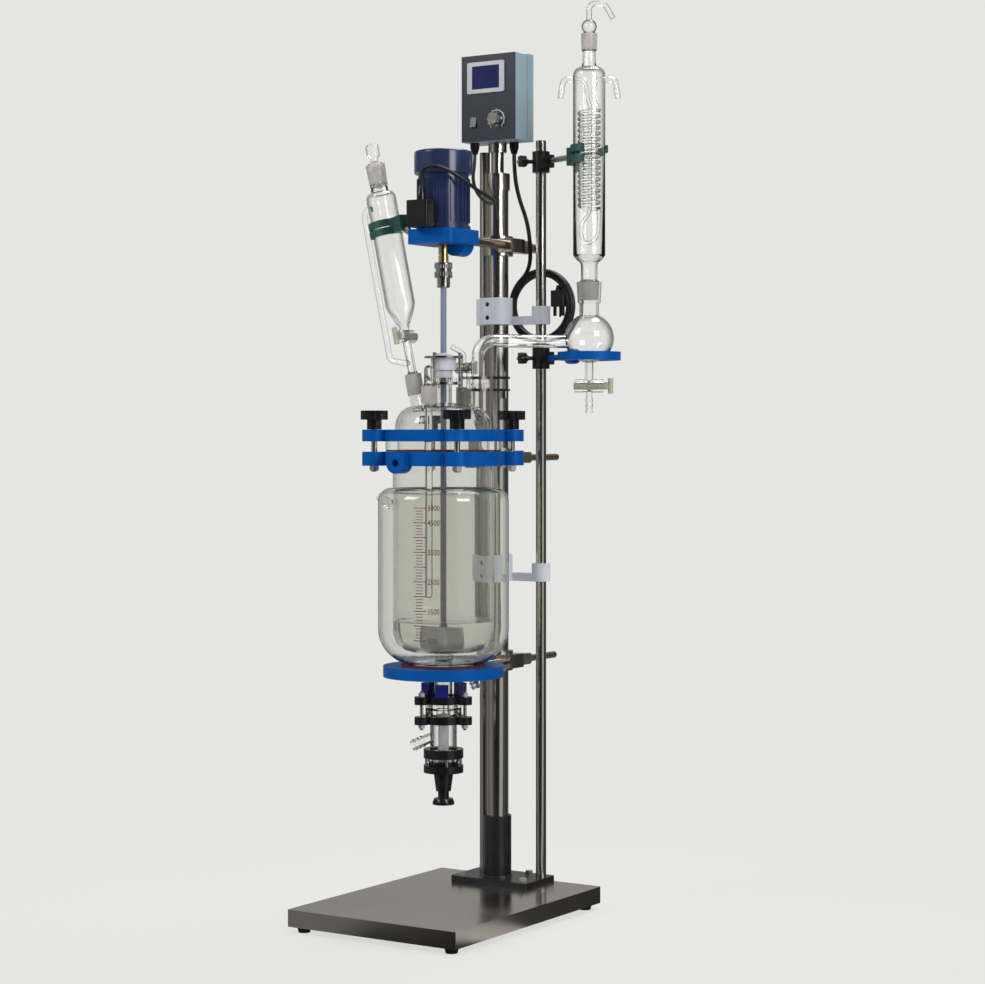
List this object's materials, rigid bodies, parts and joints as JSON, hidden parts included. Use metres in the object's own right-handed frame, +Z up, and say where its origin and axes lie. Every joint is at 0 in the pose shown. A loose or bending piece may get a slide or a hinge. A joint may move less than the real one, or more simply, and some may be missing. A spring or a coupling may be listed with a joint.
{
  "type": "jacketed glass reactor",
  "caption": "Bench-top jacketed glass stirred reactor on a column stand, with drive motor, dropping funnel, reflux condenser, receiver and bottom drain valve.",
  "frame": {"origin": "centre of the base tray at floor level", "axes": "+X to the right, +Y to the column at the back, +Z up"},
  "size_m": [0.4118, 0.547, 1.5416],
  "materials": {
    "stainless": "brushed and bright",
    "bright_steel": "bright turned steel",
    "black_rubber": "matt",
    "black_coating": "satin powder coat",
    "black_plastic": "moulded, slightly glossy",
    "white_plastic": "moulded",
    "blue_anodised": "blue anodised, satin",
    "red_silicone": "matt silicone",
    "glass": "clear borosilicate",
    "ptfe": "matt fluoropolymer",
    "ptfe_grey": "matt coated rod",
    "navy_paint": "semi-gloss",
    "grey_paint": "semi-gloss",
    "silver_plastic": "silver painted",
    "green_coating": "dipped coating",
    "cable_rubber": "smooth sheath",
    "brass": "turned"
  },
  "bodies": {
    "root": {"base_tray": "stainless", "boss_heads": "black_coating", "cable_glands": "black_plastic", "clamp_ring_lower": "blue_anodised", "clamp_ring_upper": "blue_anodised", "column_clamps": "black_plastic", "column_collars": "stainless", "column_socket": "black_coating", "column_tubes": "stainless", "condenser": "glass", "condenser_coil": "glass", "control_box": "grey_paint", "control_panel": "navy_paint", "display_bezel": "silver_plastic", "drain_flanges": "black_plastic", "drain_valve_body": "glass", "dropping_funnel": "glass", "finger_clamps": "green_coating", "jacketed_vessel": "glass", "joint_clamps": "bright_steel", "motor_body": "navy_paint", "motor_cable": "cable_rubber", "motor_plate": "blue_anodised", "power_cord": "cable_rubber", "power_cord_coil": "cable_rubber", "power_plug": "cable_rubber", "reactor_lid": "glass", "receiver": "glass", "receiver_plate": "blue_anodised", "rod_brackets": "white_plastic", "rubber_feet": "black_rubber", "side_rods": "stainless", "silicone_gaskets": "red_silicone", "steel_fasteners": "bright_steel", "stirring_seal": "ptfe", "support_ring": "blue_anodised", "support_rods": "bright_steel", "terminal_box": "black_plastic", "thermowell": "glass", "valve_housing": "black_plastic", "vent_valve": "glass"},
    "stirrer": {"drive_coupling": "brass", "chuck": "bright_steel", "stirrer_shaft": "ptfe_grey", "stirrer_paddle": "ptfe_grey"},
    "flange_knob_1": {"flange_knob_1": "black_plastic"},
    "flange_knob_2": {"flange_knob_2": "black_plastic"},
    "flange_knob_3": {"flange_knob_3": "black_plastic"},
    "flange_knob_4": {"flange_knob_4": "black_plastic"},
    "speed_knob": {"speed_knob": "bright_steel"},
    "power_switch": {"power_switch": "black_plastic"},
    "funnel_key": {"funnel_key": "ptfe"},
    "funnel_stopper": {"funnel_stopper": "glass"},
    "receiver_key": {"receiver_key": "ptfe"},
    "vent_key": {"vent_key": "ptfe"},
    "valve_stem": {"valve_stem": "ptfe"},
    "valve_knob": {"valve_knob": "black_plastic"},
    "receiver_boss_knob": {"receiver_boss_knob": "black_plastic"},
    "condenser_boss_knob": {"condenser_boss_knob": "black_plastic"},
    "condenser_adapter": {"condenser_adapter": "glass"}
  },
  "joints": [
    {"name": "stirrer_spin", "type": "hinge", "parent": "root", "child": "stirrer", "pos_m": [0.016, -0.037, 0.9], "axis": [0, 0, 1], "continuous": true},
    {"name": "flange_knob_1_turn", "type": "hinge", "parent": "root", "child": "flange_knob_1", "pos_m": [0.09802, 0.04502, 0.83], "axis": [0, 0, 1], "continuous": true},
    {"name": "flange_knob_2_turn", "type": "hinge", "parent": "root", "child": "flange_knob_2", "pos_m": [-0.06602, 0.04502, 0.83], "axis": [0, 0, 1], "continuous": true},
    {"name": "flange_knob_3_turn", "type": "hinge", "parent": "root", "child": "flange_knob_3", "pos_m": [-0.06602, -0.11902, 0.83], "axis": [0, 0, 1], "continuous": true},
    {"name": "flange_knob_4_turn", "type": "hinge", "parent": "root", "child": "flange_knob_4", "pos_m": [0.09802, -0.11902, 0.83], "axis": [0, 0, 1], "continuous": true},
    {"name": "speed_knob_turn", "type": "hinge", "parent": "root", "child": "speed_knob", "pos_m": [0.005, 0.142, 1.357], "axis": [0, -1, 0], "range_deg": [0, 270]},
    {"name": "power_switch_tilt", "type": "hinge", "parent": "root", "child": "power_switch", "pos_m": [-0.042, 0.1428, 1.355], "axis": [1, 0, 0], "range_deg": [0, 16]},
    {"name": "funnel_key_turn", "type": "hinge", "parent": "root", "child": "funnel_key", "pos_m": [-0.05997, -0.037, 0.97788], "axis": [0, -1, 0], "continuous": true},
    {"name": "funnel_stopper_lift", "type": "slide", "parent": "root", "child": "funnel_stopper", "axis": [-0.213, 0, 0.977], "range_m": [0, 0.04]},
    {"name": "receiver_key_turn", "type": "hinge", "parent": "root", "child": "receiver_key", "pos_m": [0.1938, 0.1364, 0.895], "axis": [0.8396, 0.5433, 0], "continuous": true},
    {"name": "vent_key_turn", "type": "hinge", "parent": "root", "child": "vent_key", "pos_m": [0.01802, 0.02097, 0.925], "axis": [1, 0, 0], "continuous": true},
    {"name": "valve_travel", "type": "slide", "parent": "root", "child": "valve_stem", "axis": [0, 0, 1], "range_m": [-0.0119, 0]},
    {"name": "valve_knob_turn", "type": "hinge", "parent": "valve_stem", "child": "valve_knob", "pos_m": [0.016, -0.037, 0.2], "axis": [0, 0, 1], "range_deg": [0, 1440]},
    {"name": "receiver_boss_knob_turn", "type": "hinge", "parent": "root", "child": "receiver_boss_knob", "pos_m": [0.0635, 0.1935, 0.945], "axis": [-0.5501, -0.8351, 0], "continuous": true},
    {"name": "condenser_boss_knob_turn", "type": "hinge", "parent": "root", "child": "condenser_boss_knob", "pos_m": [0.0635, 0.1935, 1.284], "axis": [-0.5501, -0.8351, 0], "continuous": true},
    {"name": "condenser_adapter_lift", "type": "slide", "parent": "root", "child": "condenser_adapter", "axis": [0, 0, 1], "range_m": [0, 0.03]}
  ],
  "couplings": [
    {"joint": "valve_knob_turn", "follows": "valve_travel", "rad_per_m": -2096.4}
  ]
}
